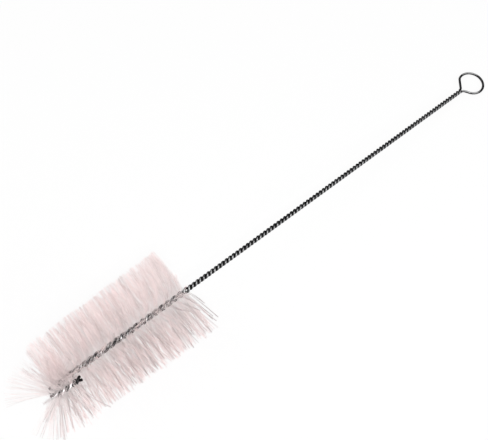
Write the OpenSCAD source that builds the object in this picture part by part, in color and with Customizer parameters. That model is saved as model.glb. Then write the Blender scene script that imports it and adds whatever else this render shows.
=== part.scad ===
// Bottle brush: one steel wire is bent into a hanging eye, its two legs are twisted
// together, and the twist grips a layer of nylon filaments that stand out as bristles.
// The far end of the twisted stem is folded back beside itself, so that the bristles
// fan out over the tip. The brush lies on a table: the head rests on its bristles at
// the handle end and the eye touches down at its far side.

/* [Wire] */
// Diameter of the steel wire
wire_d = 1.8; // [1.2:0.1:1.9]
// Length of one full turn of the twisted pair in the bare handle
handle_pitch = 6.3; // [5.8:0.1:10]
// Length of one full turn of the twisted pair where it grips the bristles
head_pitch = 10.1; // [9.5:0.1:14]

/* [Handle] */
// Length of the bare twisted handle, from the bristles to the eye
handle_l = 277; // [157:5:337]
// Inside diameter of the hanging eye
eye_d = 18.2; // [12:0.2:30]
// Distance from the twist to the round part of the eye
neck_l = 3; // [1.5:0.1:4]

/* [Bristle head] */
// Length of the bristle head along the stem
head_l = 107; // [70:1:130]
// Diameter over the bristles at the handle end
head_d_handle = 68; // [50:1:80]
// Diameter over the bristles at the tip end
head_d_tip = 60; // [44:1:74]
// Thickness of the layer of filaments held between the two strands
layer_t = 0.6; // [0.4:0.1:1]
// Pairs of tufts on each side of the stem in every half turn
tuft_pairs = 9; // [5:1:10]
// How far the tuft tips stray along the stem, to each side of their row
tuft_stray = 2.2; // [0.4:0.1:2.4]
// Shortest tuft as a share of the longest one
shortest_tuft = 0.93; // [0.85:0.01:1]
// Distance from the stem at which a row parts into tufts
root_r = 3; // [2.8:0.1:4]
// Thickness of a row where it parts into tufts
root_t = 1.5; // [1:0.1:1.6]

/* [Folded tip] */
// Length of the stem folded back beside itself
fold_l = 16; // [10:1:24]
// Length of the cut end that holds no bristles
bare_l = 3.6; // [0:0.2:5]
// Distance between the stem and its folded end, centre to centre
fold_gap = 6.4; // [6:0.2:9]
// Direction of the folded end round the stem, from +Y over the top
fold_turn = 168; // [120:2:240]
// Reach of the bristles that fan out from the fold
fan_r = 27; // [20:1:34]

/* [Rest] */
// How far the bristles give way under the weight of the brush
rest_press = 1.2; // [0.6:0.1:2]

/* [Hidden] */

strand_gap = 0.04;   // between the two strands in the bare handle
grip_gap = 0.12;     // between a strand and the filament layer it grips
fan_gap = 0.2;       // from the bristles on each side to the plane between fold and stem
cut_clearance = 1;   // from the longest stray beside the cut end of the fold to the full bristles
cut_margin = tuft_stray + cut_clearance; // stem past the cut end before full bristles
golden_share = 0.618034;     // each tuft steps on by this share of the scatter
root_share = 0.6;    // a row parts into tufts no further out than this share of its reach
tuft_shift = 1 / 6;  // from the middle of a stretch of root to the foot of each of its two tufts

// Section of the wire: a polygon with the area of the round wire and a flat that
// faces the other strand.
section_sides = 5;
vertex_turn = 360 / section_sides;
section_r = wire_d / 2 * sqrt(2 * PI / (section_sides * sin(vertex_turn)));
section_flat = section_r * cos(vertex_turn / 2);
flat_side = 2;       // the side of the section that faces the other strand

// The centre line of the twisted pair, measured from its cut end.
fold_r = fold_gap / 2;
bend_l = PI * fold_r;
s_bend = fold_l;
s_stem = s_bend + bend_l;
s_head_end = s_stem + head_l - fold_r;
s_neck = s_head_end + handle_l;
s_past_fold = s_stem + fold_l + cut_margin;

handle_half_turns = round(2 * handle_l / handle_pitch);
pair_r_handle = strand_gap / 2 + section_flat;
pair_r_head = layer_t / 2 + grip_gap + section_flat;
settle_l = handle_pitch / 2;     // the strands close up over this length past the head

// Hanging eye, in the plane z = 0 of the brush: two bends lead out of the twist, one
// straight leg runs to a shoulder and the rest is round
eye_r = (eye_d + wire_d) / 2;
eye_x = handle_l + eye_r + neck_l;
neck_bend_r = 1.8 * wire_d;
out_turn = 58;       // turn of the bend that leads to the straight leg
back_turn = 64;      // turn of the bend that the round part comes back to
neck_steps = 3;      // sections round each of the two bends
eye_shoulder = 124;  // from the far side of the eye to where the round part begins
eye_return = -154;   // and to where it ends
eye_steps = 20;

// Attitude at rest: the stem slopes down from the head to the eye
head_r = head_d_handle / 2;
touch_x = eye_x + eye_r + section_r * cos(vertex_turn);
touch_z = section_r * sin(vertex_turn);
lie_span = norm([touch_x, head_r - touch_z]);
slope = atan((head_r - touch_z) / touch_x) - asin(rest_press / lie_span);
stem_h = head_r * cos(slope) - rest_press;

// Stations per half turn of the wire sweep, and in the tight bend of the fold
wire_steps = 3;
bend_steps = 12;

// ---- Centre line and twist ----------------------------------------------------

fold_dir = [0, cos(fold_turn), sin(fold_turn)];
fold_axis = cross([1, 0, 0], fold_dir);
bend_x = -head_l + fold_r;

function bend_angle(s) = 180 * min(max((s - s_bend) / bend_l, 0), 1);

// Point, direction and inward normal of the stem's centre line at distance s
function stem_point(s) =
    s < s_bend ? [bend_x + s_bend - s, 0, 0] + fold_gap * fold_dir :
    s < s_stem ? [bend_x, 0, 0] + fold_r * fold_dir
                 + fold_r * (cos(bend_angle(s)) * fold_dir - [sin(bend_angle(s)), 0, 0]) :
    [bend_x + s - s_stem, 0, 0];
function stem_normal(s) = [sin(bend_angle(s)), 0, 0] - cos(bend_angle(s)) * fold_dir;
function stem_tangent(s) = cross(stem_normal(s), fold_axis);

// Twist of the pair: strands side by side in the eye's plane at the neck
function twist(s) =
    180 * handle_half_turns * (s_neck - max(s, s_head_end)) / handle_l
    + 360 * max(s_head_end - s, 0) / head_pitch;
function strand_dir(s) = let (a = twist(s) - fold_turn)
    cos(a) * stem_normal(s) + sin(a) * fold_axis;
function layer_dir(s) = let (a = twist(s) - fold_turn)
    cos(a) * fold_axis - sin(a) * stem_normal(s);

function settle(s) = min(max((s - s_head_end) / settle_l, 0), 1);
function pair_r(s) = pair_r_head + (pair_r_handle - pair_r_head) * settle(s);
function pitch_at(s) = head_pitch + (handle_pitch - head_pitch) * settle(s);
// A strand crosses the station plane at a slant, so its section there is wider
function slant(s) = norm([1, 2 * PI * pair_r(s) / pitch_at(s)]);

// ---- Wire ----------------------------------------------------------------------

function steps(from, to, n) = [for (i = [0 : n - 1]) from + (to - from) * i / n];
function half_turns(length) = ceil(2 * length / head_pitch);

wire_stations = concat(
    steps(0, s_bend, wire_steps * half_turns(fold_l)),
    steps(s_bend, s_stem, bend_steps),
    steps(s_stem, s_head_end, wire_steps * half_turns(head_l)),
    steps(s_head_end, s_neck, wire_steps * handle_half_turns),
    [s_neck]);

// A wire section: centre, axis that vertex 0 points along, and second axis
function strand_section(s, side) =
    [stem_point(s) + side * pair_r(s) * strand_dir(s), side * strand_dir(s),
     slant(s) * layer_dir(s)];

function eye_point(a) = [eye_x + eye_r * cos(a), eye_r * sin(a), 0];
function neck_bend(a, side) =
    [handle_l + neck_bend_r * sin(a), side * (pair_r_handle + neck_bend_r * (1 - cos(a))), 0];
eye_path = concat(
    [for (i = [1 : neck_steps]) neck_bend(out_turn * i / neck_steps, 1)],
    [for (i = [0 : eye_steps]) eye_point(eye_shoulder + (eye_return - eye_shoulder) * i / eye_steps)],
    [for (i = [neck_steps : -1 : 1]) neck_bend(back_turn * i / neck_steps, -1)]);
function eye_section(i) =
    let (before = i == 0 ? neck_bend(0, 1) : eye_path[i - 1],
         after = i == len(eye_path) - 1 ? neck_bend(0, -1) : eye_path[i + 1],
         along = after - before)
    [eye_path[i], [-along.y, along.x, 0] / norm(along), [0, 0, 1]];

wire_sections = concat(
    [for (s = wire_stations) strand_section(s, 1)],
    [for (i = [0 : len(eye_path) - 1]) eye_section(i)],
    [for (i = [len(wire_stations) - 1 : -1 : 0]) strand_section(wire_stations[i], -1)]);

function section_ring(section) = [for (k = [0 : section_sides - 1])
    let (a = vertex_turn * k)
    section[0] + section_r * (cos(a) * section[1] + sin(a) * section[2])];

// Triangles of a swept skin: rings of n points, closed by a cap at each end. Across
// the hollow side the diagonals run the other way, so that it turns in on itself and
// stays clear of the strand beside it, and every other side bulges out.
function sweep_faces(rings, n, hollow) = concat(
    [for (i = [0 : rings - 2], k = [0 : n - 1])
        let (a = i * n + k, b = i * n + (k + 1) % n)
        k == hollow ? [a, a + n, b] : [a, b + n, b]],
    [for (i = [0 : rings - 2], k = [0 : n - 1])
        let (a = i * n + k, b = i * n + (k + 1) % n)
        k == hollow ? [a + n, b + n, b] : [a, a + n, b + n]],
    [for (k = [1 : n - 2]) [0, k, k + 1]],
    [for (k = [1 : n - 2]) let (e = (rings - 1) * n) [e, e + k + 1, e + k]]);

// ---- Bristles ------------------------------------------------------------------

row_stations = round((s_head_end - bare_l) / head_pitch * 2 * tuft_pairs);
function row_s(i) = bare_l + (s_head_end - bare_l) * i / row_stations;

// Even scatter of the tufts' lengths and tips, from 0 to 1
function scatter(i) = let (x = i * golden_share) x - floor(x);

function full_reach(s) =
    s < s_stem ? fan_r :
    (head_d_tip + (head_d_handle - head_d_tip) * (s - s_stem) / (s_head_end - s_stem)) / 2;
// Beside the fold the bristles stop short of the plane between it and the stem
function free_reach(s, dir) =
    let (inward = dir * stem_normal(s))
    s < s_past_fold && inward > 0 ? min(full_reach(s), (fold_r - fan_gap) / inward) : full_reach(s);

// Where the row of filaments parts into tufts, on side 1 or -1 of the stem and towards
// the eye (along = 1) or the tip (along = -1)
function root(s, side, along) =
    let (dir = side * layer_dir(s), r = min(root_r, root_share * free_reach(s, dir)))
    stem_point(s) + r * dir + along * root_t / 2 * r / root_r * stem_tangent(s);
// Two tufts stand on each stretch of root, one straying towards the eye and one back
function tuft_tip(i, side, along) =
    let (s = row_s(i + 0.5 - along * tuft_shift), dir = side * layer_dir(s),
         seed = 4 * i + 2 * side + along,
         reach = free_reach(s, dir) * (shortest_tuft + (1 - shortest_tuft) * scatter(seed)))
    stem_point(s) + reach * dir
    + along * tuft_stray * scatter(3 * seed) * reach / head_r * stem_tangent(s);

// The brush's own frame, with the stem along X, laid on the table
function lie(p) = [p.x * cos(slope) + p.z * sin(slope), p.y,
                   stem_h - p.x * sin(slope) + p.z * cos(slope)];
function on_table(p) = [p.x, p.y, max(p.z, 0)];

// The layer's section: thin between the strands, and twisted so that its outer edges
// stand across the row. Edges 2-3 and 5-0 carry the tufts.
row_sides = 6;
function row_ring(s) = let (half = layer_t / 2 * strand_dir(s))
    [root(s, 1, 1), stem_point(s) - half, root(s, -1, -1),
     root(s, -1, 1), stem_point(s) + half, root(s, 1, -1)];

bristle_points = [for (p = concat(
    [for (i = [0 : row_stations], p = row_ring(row_s(i))) p],
    [for (i = [0 : row_stations - 1], side = [-1, 1], along = [1, -1]) tuft_tip(i, side, along)]))
    on_table(lie(p))];
function tip_index(i, side, along) =
    row_sides * (row_stations + 1) + 4 * i + (side + 1) + (1 - along) / 2;

function spike(triangle, tip) = [for (k = [0 : 2]) [triangle[k], triangle[(k + 1) % 3], tip]];
function tuft_edge(i, k, side) =
    let (a = i * row_sides + k, b = i * row_sides + (k + 1) % row_sides)
    concat(spike([a, b + row_sides, b], tip_index(i, side, 1)),
           spike([a, a + row_sides, b + row_sides], tip_index(i, side, -1)));
function hollow_edge(i, k) =
    let (a = i * row_sides + k, b = i * row_sides + (k + 1) % row_sides)
    [[a, a + row_sides, b], [a + row_sides, b + row_sides, b]];
row_end = row_sides * row_stations;
bristle_faces = concat(
    [for (i = [0 : row_stations - 1], k = [0, 1, 3, 4], f = hollow_edge(i, k)) f],
    [for (i = [0 : row_stations - 1], f = tuft_edge(i, 2, -1)) f],
    [for (i = [0 : row_stations - 1], f = tuft_edge(i, 5, 1)) f],
    [[0, 1, 5], [1, 4, 5], [1, 2, 4], [2, 3, 4]],
    [for (f = [[4, 1, 0], [5, 4, 0], [3, 2, 1], [4, 3, 1]]) [for (v = f) row_end + v]]);

// The origin is on the table, below the middle of the brush's length
eye_end_x = lie([eye_x + eye_r + section_r, 0, 0]).x;
middle_x = (min([for (p = bristle_points) p.x]) + eye_end_x) / 2;

module twisted_wire() {
    color([0.24, 0.24, 0.25])
        translate([-middle_x, 0, stem_h])
            rotate([0, slope, 0])
                polyhedron(
                    [for (section = wire_sections, p = section_ring(section)) p],
                    sweep_faces(len(wire_sections), section_sides, flat_side));
}

module bristles() {
    color([0.93, 0.87, 0.86])
        translate([-middle_x, 0, 0])
            polyhedron(bristle_points, bristle_faces);
}

twisted_wire();
bristles();
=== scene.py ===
"""Bottle brush: a round twisted wire and its nylon filaments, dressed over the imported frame.

Lengths are in millimetres in the brush's own frame: the stem runs along X, the head ends at
x = 0, its tip is at -HEAD_L and the eye lies in the plane z = 0. Attitude turns that frame
onto the table, in metres.
"""

import math

import bpy
import numpy as np
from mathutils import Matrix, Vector

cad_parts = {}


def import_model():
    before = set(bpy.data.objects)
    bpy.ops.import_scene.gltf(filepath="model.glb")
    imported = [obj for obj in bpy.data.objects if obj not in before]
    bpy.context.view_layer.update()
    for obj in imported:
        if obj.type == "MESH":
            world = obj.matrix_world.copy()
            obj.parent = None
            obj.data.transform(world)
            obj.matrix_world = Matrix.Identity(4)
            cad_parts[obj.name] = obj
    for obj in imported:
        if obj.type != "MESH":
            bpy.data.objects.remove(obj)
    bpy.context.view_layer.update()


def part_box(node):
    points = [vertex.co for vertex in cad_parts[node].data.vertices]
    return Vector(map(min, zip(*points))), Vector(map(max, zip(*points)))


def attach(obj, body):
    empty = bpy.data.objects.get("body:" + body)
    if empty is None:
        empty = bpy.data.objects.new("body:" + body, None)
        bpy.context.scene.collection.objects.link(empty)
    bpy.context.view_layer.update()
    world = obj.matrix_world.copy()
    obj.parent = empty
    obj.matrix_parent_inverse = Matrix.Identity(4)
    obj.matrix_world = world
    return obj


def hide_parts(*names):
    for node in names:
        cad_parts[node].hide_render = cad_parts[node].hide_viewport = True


MM = 0.001
TAU = 2 * math.pi

# ---- Driving sizes, as in the part's source ------------------------------------------------

WIRE_D = 1.8
HANDLE_PITCH = 6.3
HEAD_PITCH = 10.1
HANDLE_L = 277.0
EYE_D = 18.2
NECK_L = 3.0
HEAD_L = 107.0
HEAD_D_HANDLE = 68.0
HEAD_D_TIP = 60.0
LAYER_GAP = 0.84                # between the strands where they grip the filaments
FOLD_L = 16.0
BARE_L = 3.6
FOLD_GAP = 6.4
FOLD_TURN = math.radians(168)
FAN_R = 27.0
REST_PRESS = 1.2
CUT_MARGIN = 3.2                # stem past the cut end before the bristles are whole

WIRE_R = WIRE_D / 2
PAIR_R_HANDLE = WIRE_R
PAIR_R_HEAD = WIRE_R + LAYER_GAP / 2
SECTION_SIDES = 5               # of the solid wire
SECTION_TURN = TAU / SECTION_SIDES
SECTION_R = WIRE_R * math.sqrt(TAU / (SECTION_SIDES * math.sin(SECTION_TURN)))
EYE_R = (EYE_D + WIRE_D) / 2
EYE_X = HANDLE_L + EYE_R + NECK_L
# The wire leaves the neck by one bend and comes back by another. Between them it runs round
# the eye from the shoulder to the return.
NECK_BEND_R = 1.8 * WIRE_D
OUT_TURN = math.radians(58)
BACK_TURN = math.radians(64)
EYE_SHOULDER = math.radians(124)
EYE_RETURN = math.radians(-154)

# Distances along the centre line of the twisted pair, from its cut end
FOLD_R = FOLD_GAP / 2
S_BEND = FOLD_L
S_STEM = S_BEND + math.pi * FOLD_R
S_PAST_FOLD = S_STEM + FOLD_L + CUT_MARGIN
S_HEAD_END = S_STEM + HEAD_L - FOLD_R
S_LAST = S_HEAD_END - 1.5       # where the last filaments are gripped
S_NECK = S_HEAD_END + HANDLE_L
HALF_TURNS = round(2 * HANDLE_L / HANDLE_PITCH)
SETTLE_L = HANDLE_PITCH / 2

FOLD_DIR = np.array([0, math.cos(FOLD_TURN), math.sin(FOLD_TURN)])
FOLD_AXIS = np.cross([1, 0, 0], FOLD_DIR)
BEND_X = -HEAD_L + FOLD_R

# ---- The drawn wire ------------------------------------------------------------------------

WIRE_SIDES = 14
STATIONS_IN_TURN = 24
NECK_STATIONS = 8
EYE_STATIONS = 110
EYE_SMOOTHING = 4               # passes
CUT_CHAMFER = 0.18              # over which the cutter narrows both ends
CUT_SHARE = 0.7                 # how thin it leaves them

# ---- Painted highlights on the wire --------------------------------------------------------

# The bright marks on the photo's wire are mostly reflections. They are painted here into the
# wire's colour as painted highlights, with amounts fitted to the photo.
GLINT_FROM = 0.77              # where on the crown of the handle the painted highlight begins
GLINT_FULL = 1.02              # where it is wholly painted bright
HEAD_GLINT_FROM = 0.8          # the same in the head, whose painted highlights are narrow
HEAD_GLINT_FULL = 0.9
PATCHINESS = 0.25               # how far these limits wander
CROWN_GLINT_IN_FOLD = 1.4             # how far the painted highlight covers the crown round the fold
CROWN_GLINT_IN_HEAD = 0.88            # in the head
CROWN_GLINT_AT_HANDLE = 0.97          # where the handle begins
CROWN_GLINT_LOST = 0.15               # how much less of it lies on the crown further along the handle
NEAR_GLINT_AT_HANDLE = 0.05           # painted highlight on the near side where the handle begins
NEAR_GLINT_GAINED = 0.25              # how much more further along the handle
GLINT_SHIFT_L = 100               # from the handle's start to where that shift of the painted highlight is full
CUT_DARK_L = 4.5                # the cut end keeps its film, with no painted highlight
# The handle's near side, towards the camera, gets a painted highlight.
NEAR_SIDE = [0, -1, 0]
EYE_GLINT_WAY = np.array([0.87, -0.71, 0])    # painted highlight on top of the eye, most where it runs this way

# ---- The filaments -------------------------------------------------------------------------

FILAMENT_R = 0.085
FILAMENT_RINGS = 5
FILAMENT_SIDES = 3
ROOT_L = 0.6                    # share of its length over which a thin root grows thick
# The head's pieces from the cut end on: where each begins, its half filaments on each mm of
# stem, both sides together, and how thin these are where the strands grip them
PIECES = [
    ("fold_bristles", BARE_L, 38, 0.8),
    ("fan_bristles", S_BEND, 46, 0.7),
    ("tip_bristles", S_STEM, 33, 0.5),
    ("middle_bristles", S_PAST_FOLD, 64, 0.27),
    ("handle_bristles", S_STEM + 0.6 * HEAD_L, 60, 0.2),
]
SEED = 6
TUFT_SIZE = 5                   # half filaments that cling together in one tuft
TURN_SPREAD = math.radians(75)  # how far tufts stand to each side of the gripped layer
GOLDEN_SHARE = 0.618034         # step that spreads them evenly
PROUD = 0.8                     # how far the filaments pass the solid's points

# Round the fold
FAN_SPREAD = 0.5                # share of TURN_SPREAD that is left there
FAN_TURN = math.radians(45)     # extra turn of the filaments' rows
FAN_BLEND_L = 1.5               # stem over which this turn comes in
FAN_SPLIT = math.radians(20)    # how far its threads on the stem's side lean off the others
FAN_WEDGE = math.radians(130)   # turn of the bend from which they lean to the head instead
WEDGE_LEAN = 0.95               # share of the turn that is left by which they lean
FAN_CLING = 0.92                # share of their scatter that is drawn together
LEG_LEAN = math.radians(25)     # how far those on the folded leg lean over the bend
LEG_LEAN_L = 8                  # the length of the leg on which they do
# Beside the fold, in degrees: the least turn away from the other leg, and how far beyond it
# the filaments spread that are pushed aside
PASS_ABOVE_LEG = (42, 30)
PASS_ABOVE_STEM = (55, 90)
PASS_BELOW = (24, 40)

# Wear of the tufts: each amount on the smooth side of the head, and what the worn side adds
WEAR_MIDDLE = 0.5               # wear on the top and under the stem
WEAR_RISE = 1.2                 # how fast it grows to the near side
TUFT_LEAN = (1.8, 3.2)          # degrees
TUFT_SHORT = (0.02, 0.09)       # share by which the shortest tufts are shorter
TUFT_BEND = (0.4, 0.8)          # at the tip
TUFT_CLING = (0.45, 0.2)        # least share of their scatter that is drawn together
CLING_SPREAD = 0.3
TUFT_GREY = (0.7, 0.3)          # of the darkest tufts: partly own tone, partly painted shade
GREY_POWER = 2.5                # the higher, the fewer tufts are grey

# Leans, which scatter by TUFT_LEAN
LEAN_IN_FOLD = 1.5              # share of the scatter on the folded leg and round the fold
LEAN_AT_ENDS = 0.3              # share at both ends of the head
STIFF_ENDS_L = 5                # the length from each end at which it is whole
END_LEAN_L = 8                  # the length of head that leans at the handle end
END_LEAN_TOP = math.radians(17)
END_LEAN_SIDE = math.radians(1.5)
STRAYS = 0.45                   # share of the worn tufts at the handle end that stray over it
STRAY_L = 2                     # how close to it; fewer do further off, and none at twice this
STRAY_LEAN = (3, 16)            # degrees: the least, and how much more
STRAY_SHORT = 0.15

# Scatter of single filaments within their tuft
OFF_PLACE = 0.5                 # along the stem
OFF_TURN = math.radians(8)
OFF_LEAN = math.radians(2.5)
OFF_WORN = 0.5                  # share of these three that wear takes away
OFF_LENGTH = 0.02
OFF_ROOT = 0.12                 # across the gripped layer
OFF_TIP = 0.15

# ---- Materials, lamps and camera -----------------------------------------------------------

FILM_LIGHT = (0.045, 0.045, 0.046, 1)
FILM_DARK = (0.02, 0.02, 0.021, 1)
# Tones of the painted highlights on the handle and in the head.
GLINT_TONE_HANDLE = (0.42, 0.42, 0.425, 1)
GLINT_TONE_HEAD = (0.9, 0.9, 0.9, 1)
METAL_EDGE = (0.05, 0.05, 0.05, 1)    # dark, so that the wire's edges don't shine
NYLON_ROOT = (1.0, 0.983, 0.981, 1)
NYLON_TIP = (1.0, 0.94, 0.936, 1)
WHITE = (1, 1, 1, 1)
WORLD_LIGHT = 0.55              # strength of the world's light; it is seen as plain white
FLOOR_HALF = 3.0
PAPER_TONES = (0.84, 0.88)
FLOOR_WHITE = 0.9               # share of plain white in the floor that is seen
# Area lamps: where each stands and where it aims, in metres, its size and its watts
LAMPS = {
    "key": ((-0.5, 0.45, 0.9), (-0.1, 0, 0.03), 0.7, 2.0),
    "top": ((-0.15, -0.35, 0.95), (-0.1, 0, 0.03), 0.35, 4.8),
    "fill": ((0.4, -0.6, 0.5), (0.05, 0, 0.03), 0.3, 1.3),
}
# Where the camera stands, from the table below the eye's far end, and the way it looks:
# level, with no roll
CAMERA_FROM_EYE = (-0.3415, -0.1126, 0.458)
CAMERA_YAW = math.radians(50.93)
CAMERA_DOWN = math.radians(68.9)
LENS_MM = 48
SENSOR_MM = 36


class Attitude:
    """How the brush lies: its slope, the height of its stem and where its origin falls."""

    def __init__(self, eye_end):
        touch_x = EYE_X + EYE_R + SECTION_R * math.cos(SECTION_TURN)
        touch_z = SECTION_R * math.sin(SECTION_TURN)
        rise = HEAD_D_HANDLE / 2 - touch_z
        self.slope = math.atan(rise / touch_x) - math.asin(REST_PRESS / math.hypot(touch_x, rise))
        self.stem_h = HEAD_D_HANDLE / 2 * math.cos(self.slope) - REST_PRESS
        self.middle_x = (EYE_X + EYE_R + SECTION_R) * math.cos(self.slope) - eye_end / MM

    def lay(self, points):
        """Brush frame in mm to the table's frame in metres."""
        x, y, z = points[..., 0], points[..., 1], points[..., 2]
        c, s = math.cos(self.slope), math.sin(self.slope)
        along = x * c + z * s - self.middle_x
        return np.stack([along, y, self.stem_h - x * s + z * c], axis=-1) * MM


# ---- Centre line and twist -----------------------------------------------------------------


def column(values):
    return np.asarray(values, float)[..., None]


def bend_angle(s):
    return math.pi * np.clip((s - S_BEND) / (S_STEM - S_BEND), 0, 1)


def stem_point(s):
    """Points of the stem's centre line at distances s from the cut end of the fold."""
    s, b = np.asarray(s, float), bend_angle(s)
    along = np.where(s < S_BEND, BEND_X + S_BEND - s, BEND_X + np.maximum(s - S_STEM, 0))
    lift = np.where(s < S_STEM, FOLD_R * (1 + np.cos(b)), 0)
    x = along - FOLD_R * np.sin(b)
    return column(x) * np.array([1.0, 0, 0]) + column(lift) * FOLD_DIR


def stem_normal(s):
    b = bend_angle(s)
    return column(np.sin(b)) * np.array([1.0, 0, 0]) - column(np.cos(b)) * FOLD_DIR


def stem_tangent(s):
    return np.cross(stem_normal(s), FOLD_AXIS)


def twist(s):
    s = np.asarray(s, float)
    handle = math.pi * HALF_TURNS * (S_NECK - np.maximum(s, S_HEAD_END)) / HANDLE_L
    return handle + TAU * np.maximum(S_HEAD_END - s, 0) / HEAD_PITCH - FOLD_TURN


def strand_dir(s):
    return column(np.cos(twist(s))) * stem_normal(s) + column(np.sin(twist(s))) * FOLD_AXIS


def pair_r(s):
    settle = np.clip((np.asarray(s, float) - S_HEAD_END) / SETTLE_L, 0, 1)
    return PAIR_R_HEAD + (PAIR_R_HANDLE - PAIR_R_HEAD) * settle


# ---- Meshes --------------------------------------------------------------------------------


def new_mesh(name, points, loops, sizes, uv, fields, smooth):
    """An object from numpy arrays: loops holds every face's corners, sizes their number."""
    mesh = bpy.data.meshes.new(name)
    mesh.vertices.add(len(points))
    mesh.vertices.foreach_set("co", points.astype(np.float32).ravel())
    mesh.loops.add(len(loops))
    mesh.loops.foreach_set("vertex_index", loops.astype(np.int32))
    mesh.polygons.add(len(sizes))
    loop_start = np.concatenate([[0], np.cumsum(sizes)[:-1]])
    mesh.polygons.foreach_set("loop_start", loop_start.astype(np.int32))
    mesh.update(calc_edges=True)
    mesh.polygons.foreach_set("use_smooth", np.full(len(sizes), smooth))
    layer = mesh.uv_layers.new(name="OFBake")
    layer.data.foreach_set("uv", uv.astype(np.float32).ravel())
    for field, values in fields.items():
        mesh.attributes.new(field, "FLOAT_VECTOR", "POINT").data.foreach_set(
            "vector", values.astype(np.float32).ravel())
    mesh.validate()
    obj = bpy.data.objects.new(name, mesh)
    bpy.context.scene.collection.objects.link(obj)
    return obj


def tube_faces(rings, sides):
    """Corners of one tube's faces: quads between its rings, then a cap at each end."""
    ring, side = np.meshgrid(np.arange(rings - 1), np.arange(sides), indexing="ij")
    a, b = ring * sides + side, ring * sides + (side + 1) % sides
    quads = np.stack([a, b, b + sides, a + sides], axis=-1).reshape(-1)
    start = np.arange(sides)[::-1]
    end = (rings - 1) * sides + np.arange(sides)
    loops = np.concatenate([quads, start, end])
    sizes = np.concatenate([np.full((rings - 1) * sides, 4), [sides, sides]])
    return loops, sizes


def tube_uv(rings, sides):
    """Corners of one tube's faces laid flat in a unit cell, with its caps above and below."""
    strip_h, cap_half_u, cap_half_v = 0.1, 0.4, 0.04
    ring, side = np.meshgrid(np.arange(rings - 1), np.arange(sides), indexing="ij")
    u0, u1 = side / sides, (side + 1) / sides
    v0, v1 = (strip_h + (1 - 2 * strip_h) * (ring + e) / (rings - 1) for e in (0, 1))
    quads = np.stack([u0, v0, u1, v0, u1, v1, u0, v1], axis=-1).reshape(-1, 2)
    turn = TAU * np.arange(sides) / sides
    cap = np.stack([0.5 + cap_half_u * np.cos(turn), cap_half_v * np.sin(turn)], axis=-1)
    return np.concatenate([quads, (cap + [0, strip_h / 2])[::-1], cap + [0, 1 - strip_h / 2]])


# ---- Wire ----------------------------------------------------------------------------------


def arc(count, start, end, place):
    """Points at even steps from start to end, without the first."""
    return np.array([place(start + (end - start) * i / count) for i in range(1, count + 1)])


def eye_path():
    """Centre line of the eye, from the neck round and back. Its ends at the neck are left out,
    because the strands end there."""

    def neck(side):
        def place(a):
            return [HANDLE_L + NECK_BEND_R * math.sin(a),
                    side * (PAIR_R_HANDLE + NECK_BEND_R * (1 - math.cos(a))), 0]
        return place

    def ring(a):
        return [EYE_X + EYE_R * math.cos(a), EYE_R * math.sin(a), 0]

    out = arc(NECK_STATIONS, 0, OUT_TURN, neck(1))
    back = arc(NECK_STATIONS, 0, BACK_TURN, neck(-1))[::-1]
    round_part = arc(EYE_STATIONS, EYE_SHOULDER, EYE_RETURN, ring)
    return smooth_corners(np.concatenate([out, round_part, back]), EYE_SMOOTHING)


def smooth_corners(points, passes):
    """Rounds the corners where the arcs meet, with both ends held."""
    for _ in range(passes):
        points[1:-1] = points[1:-1] / 2 + (points[:-2] + points[2:]) / 4
    return points


def wire_path():
    """Centre line of the whole wire, from one cut end round the eye to the other, the way and
    strength of its painted highlight at each of its points, and 1 for those in the head."""
    in_head = round(S_HEAD_END / HEAD_PITCH * STATIONS_IN_TURN)
    in_handle = HALF_TURNS * STATIONS_IN_TURN // 2 + 1
    s = np.concatenate([
        np.linspace(0, S_HEAD_END, in_head, endpoint=False),
        np.linspace(S_HEAD_END, S_NECK, in_handle)])
    centre, out, eye = stem_point(s), strand_dir(s), eye_path()
    reach = column(pair_r(s)) * out
    path = np.concatenate([centre + reach, eye, (centre - reach)[::-1]])
    # Painted highlights: on the crowns of the twist and on the handle's near side.
    crown, side = crown_glint_share(s) * out, near_glint_share(s) * NEAR_SIDE
    painted_glint = np.concatenate([side + crown, eye_glint(eye), (side - crown)[::-1]])
    head = column(s <= S_HEAD_END)
    head = np.concatenate([head, np.zeros((len(eye), 1)), head[::-1]])
    return path, painted_glint, head


def glint_shift(s):
    """0 in the head to 1 where the painted highlight on the handle has moved most from its crown to
    its near side.
    """
    return np.clip((s - S_HEAD_END) / GLINT_SHIFT_L, 0, 1)


def crown_glint_share(s):
    """How far the painted highlight reaches over the wire's crown, on the way out from the pair's
    middle.
    """
    guarded = np.where(s > S_STEM, CROWN_GLINT_IN_HEAD, CROWN_GLINT_IN_FOLD) * (s > CUT_DARK_L)
    return column(np.where(s > S_HEAD_END, CROWN_GLINT_AT_HANDLE - CROWN_GLINT_LOST * glint_shift(s), guarded))


def near_glint_share(s):
    """How much painted highlight the handle gets on its near side."""
    return column((s > S_HEAD_END) * (NEAR_GLINT_AT_HANDLE + NEAR_GLINT_GAINED * glint_shift(s)))


def eye_glint(eye):
    """The eye gets a painted highlight on top, most where it runs along the way set for it."""
    run = np.gradient(eye, axis=0)
    run /= np.linalg.norm(run, axis=1, keepdims=True)
    return column(np.abs(run @ EYE_GLINT_WAY)) * [0, 0, 1]


def frames_along(path):
    """Tangent and two normals at each point of a path, turned as little as they can be."""
    tangent = np.gradient(path, axis=0)
    tangent /= np.linalg.norm(tangent, axis=1, keepdims=True)
    aside = [0.3, 0.5, 0.8]       # any way that isn't along the start of the path
    first = np.cross(tangent[0], aside)
    normals = [first / np.linalg.norm(first)]
    for t in tangent[1:]:
        n = normals[-1] - t * np.dot(t, normals[-1])
        normals.append(n / np.linalg.norm(n))
    normals = np.array(normals)
    return tangent, normals, np.cross(tangent, normals)


def round_section(sides, n1, n2):
    """Unit directions round each point of a path, from its two normals."""
    turn = TAU * np.arange(sides) / sides
    return np.cos(turn)[None, :, None] * n1[:, None] + np.sin(turn)[None, :, None] * n2[:, None]


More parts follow.
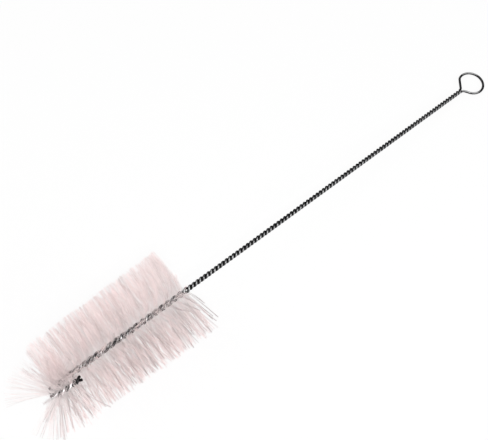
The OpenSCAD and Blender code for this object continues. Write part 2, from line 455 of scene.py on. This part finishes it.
def build_wire(attitude):
    """The wire as one round tube. Field "drawn" is its place on the straight wire, in mm. The
    first part of "crown" is high where the wire gets a painted highlight, such as where a strand
    stands out from the pair, and below 0 in the groove. Its second part is 1 in the head."""
    path, painted_glint, head = wire_path()
    tangent, n1, n2 = frames_along(path)
    before, after = path[0] - CUT_CHAMFER * tangent[0], path[-1] + CUT_CHAMFER * tangent[-1]
    radius = np.full(len(path), WIRE_R)
    radius = np.concatenate([[WIRE_R * CUT_SHARE], radius, [WIRE_R * CUT_SHARE]])
    path = np.concatenate([[before], path, [after]])
    n1, n2, painted_glint, head = (
        np.concatenate([n[:1], n, n[-1:]]) for n in (n1, n2, painted_glint, head))
    around = round_section(WIRE_SIDES, n1, n2)
    points = path[:, None] + radius[:, None, None] * around

    run = np.concatenate([[0], np.cumsum(np.linalg.norm(np.diff(path, axis=0), axis=1))])
    turn = TAU * np.arange(WIRE_SIDES) / WIRE_SIDES
    drawn = np.stack(np.broadcast_arrays(
        run[:, None], WIRE_R * np.cos(turn), WIRE_R * np.sin(turn)), axis=-1)
    crown = np.sum(around * painted_glint[:, None], axis=-1, keepdims=True) * [1, 0, 0]
    crown = crown + head[:, None] * [0, 1, 0]
    loops, sizes = tube_faces(len(path), WIRE_SIDES)
    uv = wire_uv(run, WIRE_SIDES)
    return new_mesh("wire", attitude.lay(points).reshape(-1, 3), loops, sizes, uv,
                    {"drawn": drawn.reshape(-1, 3), "crown": crown.reshape(-1, 3)}, smooth=True)


def wire_uv(run, sides):
    """The straight wire cut into strips, one above the other, with its two caps beside them."""
    strips, strip_w, strip_bottom, strip_h = 16, 0.94, 0.08, 0.8
    cap_r, cap_u, cap_v = 0.012, 0.975, (0.3, 0.6)
    strip_l = run[-1] / (strips - 1)
    strip = np.floor(run[:-1] / strip_l)
    u0, u1 = (strip_w * (r - strip * strip_l) / strip_l for r in (run[:-1], run[1:]))
    k = np.arange(sides)
    v0, v1 = ((column(strip) + strip_bottom + strip_h * (k + e) / sides) / strips for e in (0, 1))
    u0, u1 = (np.broadcast_to(column(u), v0.shape) for u in (u0, u1))
    quads = np.stack([u0, v0, u0, v1, u1, v1, u1, v0], axis=-1).reshape(-1, 2)
    turn = TAU * k / sides
    cap = np.stack([np.cos(turn), np.sin(turn)], axis=-1) * cap_r
    start, end = ([cap_u, v] for v in cap_v)
    return np.concatenate([quads, (cap + start)[::-1], cap + end])


# ---- Filaments -----------------------------------------------------------------------------


def full_reach(s):
    """How far the filaments stand out from the stem."""
    share = np.clip((s - S_STEM) / (S_HEAD_END - S_STEM), 0, 1)
    head = (HEAD_D_TIP + (HEAD_D_HANDLE - HEAD_D_TIP) * share) / 2
    return np.where(s < S_STEM, FAN_R, head)


def pass_by(angle, s, rng):
    """Beside the fold, filaments that would run into the other leg part to its two sides.
    Angles are measured from the way to the other leg."""
    leg, stem, above = s < S_BEND, (s > S_STEM) & (s < S_PAST_FOLD), angle < 0
    least, spread = (np.radians(np.where(above, np.where(leg, of_leg, of_stem), below))
                     for of_leg, of_stem, below in zip(PASS_ABOVE_LEG, PASS_ABOVE_STEM, PASS_BELOW))
    pushed = least + spread * rng.random(len(angle))
    blocked = (leg | stem) & (np.abs(angle) < least)
    return np.where(blocked, np.copysign(pushed, angle), angle)


def in_fan(s):
    return (s > S_BEND) & (s < S_STEM)


def row_turn(s):
    """Turn of a row of filaments from the way inwards; round the fold the rows twist on."""
    fold = np.clip(np.minimum(s - S_BEND, S_STEM - s) / FAN_BLEND_L + 0.5, 0, 1)
    return twist(s) + math.pi / 2 + FAN_TURN * fold


def wrap(angle):
    return (angle + math.pi) % TAU - math.pi


def ruffled(out):
    """0 on the smooth side of the head to 1 on the side that is worn ragged."""
    return np.clip(WEAR_MIDDLE - WEAR_RISE * out[:, 1], 0, 1)


def by_wear(amount, worn):
    """An amount that is given for the smooth side, with what the worn side adds."""
    smooth, added = amount
    return smooth + added * worn


def freedom(s):
    """How much the tufts' leans scatter: less beside the head's two ends."""
    inside = np.minimum(s - S_STEM, S_HEAD_END - s)
    return np.where(s < S_STEM, LEAN_IN_FOLD, np.clip(inside / STIFF_ENDS_L, LEAN_AT_ENDS, 1))


def end_lean(s, out):
    """The last rows lean: those on top to the tip, so that the handle starts clear of them, and
    those beside the stem a little to the tip above the handle and to the handle below it."""
    lean = END_LEAN_SIDE * np.sign(-out[:, 1]) - END_LEAN_TOP * np.clip(out[:, 2], 0, 1)
    return lean * np.clip(1 - (S_HEAD_END - s) / END_LEAN_L, 0, 1)


def fold_lean(s):
    """Round the fold the tufts part into two lobes, and those on the folded leg lean over it."""
    bent = bend_angle(s)
    lobes = np.where(bent > FAN_WEDGE, WEDGE_LEAN * (math.pi - bent), FAN_SPLIT * (bent > math.pi / 2))
    on_leg = np.clip(1 - (S_BEND - s) / LEG_LEAN_L, 0, 1) * (s < S_BEND)
    return in_fan(s) * lobes + LEG_LEAN * on_leg


class Tufts:
    """The tufts between two distances along the stem, with one entry of each array for a tuft."""

    def __init__(self, rng, s_from, s_to, per_mm):
        self.count = round((s_to - s_from) * per_mm / TUFT_SIZE)
        index = np.arange(self.count)
        self.s = s_from + (s_to - s_from) * (index + rng.random(self.count)) / self.count
        fan = in_fan(self.s)
        spread = np.where(fan, FAN_SPREAD, 1) * TURN_SPREAD
        turn = spread * (2 * ((index * GOLDEN_SHARE) % 1) - 1)
        self.angle = row_turn(self.s) + math.pi * (index % 2) + turn
        out = directions(self.s, self.angle)[1]
        self.worn = ruffled(out)
        scatter = rng.normal(0, 1, self.count) * np.radians(by_wear(TUFT_LEAN, self.worn))
        self.lean = scatter * freedom(self.s) + end_lean(self.s, out) + fold_lean(self.s)
        self.long = 1 - by_wear(TUFT_SHORT, self.worn) * rng.random(self.count) ** 2
        self.stray_some(rng)
        self.bend = rng.normal(0, 1, (2, self.count)) * by_wear(TUFT_BEND, self.worn)
        drawn = by_wear(TUFT_CLING, self.worn) + CLING_SPREAD * rng.random(self.count)
        self.cling = np.where(fan, FAN_CLING, drawn)

    def stray_some(self, rng):
        """Some of the last worn tufts stray over the handle, a little short."""
        close = np.clip(2 - (S_HEAD_END - self.s) / STRAY_L, 0, 1)
        self.stray = rng.random(self.count) < STRAYS * self.worn * close
        least, more = STRAY_LEAN
        self.lean += self.stray * np.radians(least + more * rng.random(self.count))
        self.long *= 1 - STRAY_SHORT * self.stray

    def tones(self, rng):
        """1 for a light tuft, and less the greyer it is. The grey is partly the nylon's own tone and
        partly painted shade between filaments; stray tufts get the darkest, as painted shade.
        """
        grey = by_wear(TUFT_GREY, self.worn) * rng.random(self.count) ** GREY_POWER
        return (1 - self.stray) * (1 - grey)


def grow_filaments(rng, tufts):
    """Roots, ways, lengths and bends of the half filaments, with a random number and the tuft's
    tone for each. Each filament leaves the stem in its own place, and its tip is drawn to the
    middle of its tuft."""
    tuft = np.repeat(np.arange(tufts.count), TUFT_SIZE)
    count = len(tuft)
    loose = (1 - OFF_WORN * tufts.worn)[tuft]
    off_s = rng.normal(0, OFF_PLACE, count) * loose
    s = np.clip(tufts.s[tuft] + off_s, BARE_L, S_LAST)
    off_turn = rng.normal(0, OFF_TURN, count) * loose
    off_lean = rng.normal(0, OFF_LEAN, count) * loose
    lean = tufts.lean[tuft] + off_lean
    angle = pass_by(wrap(tufts.angle[tuft] + off_turn), s, rng)
    tangent, out, across = directions(s, angle)
    way = column(np.cos(lean)) * out + column(np.sin(lean)) * tangent

    long = full_reach(s) + PROUD
    reach = long * tufts.long[tuft] * (1 - OFF_LENGTH * rng.random(count))
    root = stem_point(s) + column(rng.normal(0, OFF_ROOT, count)) * strand_dir(s)
    pull_across = -tufts.cling[tuft] * long * off_turn
    pull_along = -tufts.cling[tuft] * (off_s + long * off_lean)
    bend_across, bend_along = tufts.bend
    bend = column(bend_across[tuft] + rng.normal(0, OFF_TIP, count) + pull_across) * across
    bend += column(bend_along[tuft] + rng.normal(0, OFF_TIP, count) + pull_along) * tangent
    tones = tufts.tones(rng)
    shade = np.stack([rng.random(count), tones[tuft]], axis=-1)
    return root, way, reach, bend, shade


def directions(s, angle):
    """Tangent, outward and crosswise directions at an angle round the stem from its normal."""
    normal, tangent = stem_normal(s), stem_tangent(s)
    out = column(np.cos(angle)) * normal + column(np.sin(angle)) * FOLD_AXIS
    across = column(np.cos(angle)) * FOLD_AXIS - column(np.sin(angle)) * normal
    return tangent, out, across


def filament_paths(root, way, reach, bend):
    """Points along every filament: straight at the root, and bent towards the tip."""
    t = np.linspace(0, 1, FILAMENT_RINGS)[None, :, None]
    return root[:, None] + t * reach[:, None, None] * way[:, None] + t * t * bend[:, None]


def random_normals(paths, rng):
    """Two normals to each filament's chord, turned at random."""
    chord = paths[:, -1] - paths[:, 0]
    chord /= np.linalg.norm(chord, axis=1, keepdims=True)
    n1 = np.cross(chord, rng.normal(size=chord.shape))
    n1 /= np.linalg.norm(n1, axis=1, keepdims=True)
    return n1, np.cross(chord, n1)


def filament_uv(count):
    """Every filament's faces in a cell of its own, in a square of cells."""
    margin, cells = 0.06, math.ceil(math.sqrt(count))
    corner = np.stack([np.arange(count) % cells, np.arange(count) // cells], axis=-1)
    cell = tube_uv(FILAMENT_RINGS, FILAMENT_SIDES)[None]
    return (corner[:, None] + margin + (1 - 2 * margin) * cell).reshape(-1, 2) / cells


def build_filaments(name, attitude, rng, s_from, s_to, per_mm, root_share):
    """One piece of the head. Field "fibre" holds the place along a filament from 0 to 1, a
    random number for each filament and the tone of its tuft."""
    tufts = Tufts(rng, s_from, s_to, per_mm)
    root, way, reach, bend, shade = grow_filaments(rng, tufts)
    paths = attitude.lay(filament_paths(root, way, reach, bend))
    place = np.linspace(0, 1, FILAMENT_RINGS)
    radius = FILAMENT_R * MM * np.interp(place, [0, ROOT_L], [root_share, 1])
    paths[..., 2] = np.maximum(paths[..., 2], radius)
    ring = round_section(FILAMENT_SIDES, *random_normals(paths, rng))
    points = paths[:, :, None] + ring[:, None] * radius[None, :, None, None]

    shape = len(paths), FILAMENT_RINGS, FILAMENT_SIDES
    along = np.broadcast_to(place[None, :, None], shape)[..., None]
    fibre = np.concatenate([along, np.broadcast_to(shade[:, None, None, :], (*shape, 2))], axis=-1)
    loops, sizes = tube_faces(FILAMENT_RINGS, FILAMENT_SIDES)
    first = FILAMENT_RINGS * FILAMENT_SIDES * np.arange(len(paths))
    loops = (loops[None] + first[:, None]).reshape(-1)
    return new_mesh(name, points.reshape(-1, 3), loops, np.tile(sizes, len(paths)),
                    filament_uv(len(paths)), {"fibre": fibre.reshape(-1, 3)}, smooth=False)


# ---- Materials -----------------------------------------------------------------------------


class Nodes:
    """A short way to write a node tree."""

    def __init__(self, tree):
        self.tree = tree
        tree.nodes.clear()

    def add(self, kind, inputs=None, **settings):
        node = self.tree.nodes.new("ShaderNode" + kind)
        for name, value in settings.items():
            setattr(node, name, value)
        for name, value in (inputs or {}).items():
            if isinstance(value, bpy.types.NodeSocket):
                self.tree.links.new(value, node.inputs[name])
            else:
                node.inputs[name].default_value = value
        return node

    def math(self, operation, a, b):
        return self.add("Math", {0: a, 1: b}, operation=operation).outputs[0]

    def spread(self, value, low, high):
        """value from 0 to 1, spread from low to high."""
        return self.add("MapRange", {"Value": value, "To Min": low, "To Max": high}).outputs[0]

    def mix_values(self, factor, a, b):
        return self.add("Mix", {0: factor, 2: a, 3: b}, data_type="FLOAT").outputs[0]

    def mix(self, factor, a, b, blend="MIX"):
        node = self.add("Mix", {0: factor, 6: a, 7: b}, data_type="RGBA", blend_type=blend)
        return node.outputs[2]

    def grey(self, value):
        return self.add("CombineColor", {0: value, 1: value, 2: value}).outputs[0]

    def noise(self, vector, scale, detail):
        inputs = {"Vector": vector, "Scale": scale, "Detail": detail}
        return self.add("TexNoise", inputs).outputs[0]


def new_material(name):
    material = bpy.data.materials.new(name)
    material.use_nodes = True
    return material, Nodes(material.node_tree)


def wire_material():
    """Drawn steel wire: a dark film with faint draw lines, and painted highlights where it stands
    out.
    """
    film_rough, metal_rough, line_rough = 0.34, 0.24, 0.1
    material, n = new_material("steel_wire")
    drawn = n.add("Attribute", attribute_name="drawn").outputs["Vector"]
    crown = n.add("Attribute", attribute_name="crown").outputs["Vector"]
    crown, head = n.add("SeparateXYZ", {"Vector": crown}).outputs[:2]
    long_way = n.add("Mapping", {"Vector": drawn, "Scale": (0.12, 3.0, 3.0)}).outputs[0]
    lines = n.noise(long_way, scale=2.2, detail=4)
    patches = n.noise(drawn, scale=0.35, detail=5)
    uneven = n.math("ADD", crown, n.spread(patches, -PATCHINESS, PATCHINESS))
    # Painted highlights: where the crown field is high, the dark film gives way to bright metal.
    painted_glint = n.add("MapRange", {
        "Value": uneven,
        "From Min": n.spread(head, GLINT_FROM, HEAD_GLINT_FROM),
        "From Max": n.spread(head, GLINT_FULL, HEAD_GLINT_FULL)}).outputs[0]
    film = n.mix(lines, FILM_LIGHT, FILM_DARK)
    tone = n.mix(painted_glint, film, n.mix(head, GLINT_TONE_HANDLE, GLINT_TONE_HEAD))
    rough = n.math("ADD", n.spread(painted_glint, film_rough, metal_rough), n.spread(lines, 0, line_rough))
    bump = n.add("Bump", {"Height": lines, "Strength": 0.25, "Distance": 0.00006}).outputs[0]
    shader = n.add("BsdfPrincipled", {
        "Base Color": tone, "Metallic": 1.0, "Roughness": rough, "Normal": bump,
        "Specular Tint": METAL_EDGE})
    n.add("OutputMaterial", {"Surface": shader.outputs[0]})
    return material


def filament_material():
    """Milky nylon that lets most light through, with no two filaments quite alike. Its grey tufts
    are partly its own tone and partly painted shade between filaments.
    """
    root_l, root_shade = 0.35, 0.99          # the inner part, where all tufts are alike
    darkest_tuft, darkest_filament, skin_share = 0.75, 0.995, 0.12
    material, n = new_material("nylon_filament")
    fibre = n.add("Attribute", attribute_name="fibre").outputs["Vector"]
    along, own, tuft = n.add("SeparateXYZ", {"Vector": fibre}).outputs
    colour = n.mix(along, NYLON_ROOT, NYLON_TIP)
    outer = n.add("MapRange", {"Value": along, "From Max": root_l}).outputs[0]
    # The tufts' grey is partly the nylon's own tone and partly painted shade between filaments.
    grey = n.mix_values(outer, root_shade, n.spread(tuft, darkest_tuft, 1.0))
    shade = n.math("MULTIPLY", n.spread(own, darkest_filament, 1.0), grey)
    tone = n.mix(1.0, colour, n.grey(shade), "MULTIPLY")
    milk = n.add("BsdfTranslucent", {"Color": tone})
    skin = n.add("BsdfPrincipled", {
        "Base Color": tone, "Roughness": n.spread(own, 0.35, 0.5), "IOR": 1.53,
        "Specular IOR Level": 0.4})
    both = n.add("MixShader", {0: skin_share, 1: milk.outputs[0], 2: skin.outputs[0]})
    n.add("OutputMaterial", {"Surface": both.outputs[0]})
    return material


def seen_share(n):
    """1 for rays that show a surface: from the camera, or mirrored or refracted by the part."""
    path = n.add("LightPath").outputs
    seen = n.math("MAXIMUM", path["Is Camera Ray"], path["Is Glossy Ray"])
    return n.math("MAXIMUM", seen, path["Is Transmission Ray"])


def floor_material():
    """White paper that keeps a faint shadow of the brush."""
    material, n = new_material("white_paper")
    place = n.add("TexCoord").outputs["Object"]
    grain = n.spread(n.noise(place, scale=900, detail=3), *PAPER_TONES)
    paper = n.add("BsdfPrincipled", {"Base Color": n.grey(grain), "Roughness": 0.9})
    glow = n.add("Emission", {"Color": WHITE, "Strength": 1.0})
    white = n.math("MULTIPLY", seen_share(n), FLOOR_WHITE)
    both = n.add("MixShader", {0: white, 1: paper.outputs[0], 2: glow.outputs[0]})
    n.add("OutputMaterial", {"Surface": both.outputs[0]})
    return material


# ---- Stage ---------------------------------------------------------------------------------


def build_world():
    world = bpy.data.worlds.new("studio")
    bpy.context.scene.world = world
    world.use_nodes = True
    n = Nodes(world.node_tree)
    strength = n.spread(seen_share(n), WORLD_LIGHT, 1.0)
    light = n.add("Background", {"Color": WHITE, "Strength": strength})
    n.add("OutputWorld", {"Surface": light.outputs[0]})


def build_floor():
    half = FLOOR_HALF
    mesh = bpy.data.meshes.new("floor")
    square = [(-half, -half, 0), (half, -half, 0), (half, half, 0), (-half, half, 0)]
    mesh.from_pydata(square, [], [(0, 1, 2, 3)])
    floor = bpy.data.objects.new("floor", mesh)
    bpy.context.scene.collection.objects.link(floor)
    mesh.materials.append(floor_material())


def aim(obj, target):
    obj.rotation_euler = (Vector(target) - obj.location).to_track_quat("-Z", "Y").to_euler()


def add_lamp(name, place, target, size, watts):
    lamp = bpy.data.lights.new(name, "AREA")
    lamp.size, lamp.energy = size, watts
    obj = bpy.data.objects.new(name, lamp)
    bpy.context.scene.collection.objects.link(obj)
    obj.location = place
    aim(obj, target)


def build_camera(eye_end):
    camera = bpy.data.cameras.new("camera")
    camera.lens, camera.sensor_width = LENS_MM, SENSOR_MM
    camera.clip_start, camera.clip_end = 0.01, 20
    obj = bpy.data.objects.new("camera", camera)
    bpy.context.scene.collection.objects.link(obj)
    obj.location = Vector((eye_end, 0, 0)) + Vector(CAMERA_FROM_EYE)
    level = math.cos(CAMERA_DOWN)
    look = (level * math.cos(CAMERA_YAW), level * math.sin(CAMERA_YAW), -math.sin(CAMERA_DOWN))
    aim(obj, obj.location + Vector(look))
    bpy.context.scene.camera = obj


# ---- Build ---------------------------------------------------------------------------------


def build():
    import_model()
    eye_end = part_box("twisted_wire")[1].x
    attitude = Attitude(eye_end)
    build_camera(eye_end)
    build_world()
    build_floor()
    for name, settings in LAMPS.items():
        add_lamp(name, *settings)

    wire = build_wire(attitude)
    wire.data.materials.append(wire_material())
    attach(wire, "root")
    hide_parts("twisted_wire")

    nylon = filament_material()
    rng = np.random.default_rng(SEED)
    ends = [piece[1] for piece in PIECES[1:]] + [S_LAST]
    for (name, s_from, per_mm, root_share), s_to in zip(PIECES, ends):
        piece = build_filaments(name, attitude, rng, s_from, s_to, per_mm, root_share)
        piece.data.materials.append(nylon)
        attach(piece, "root")
        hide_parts("bristles")

    bpy.context.scene.view_settings.view_transform = "Standard"


build()
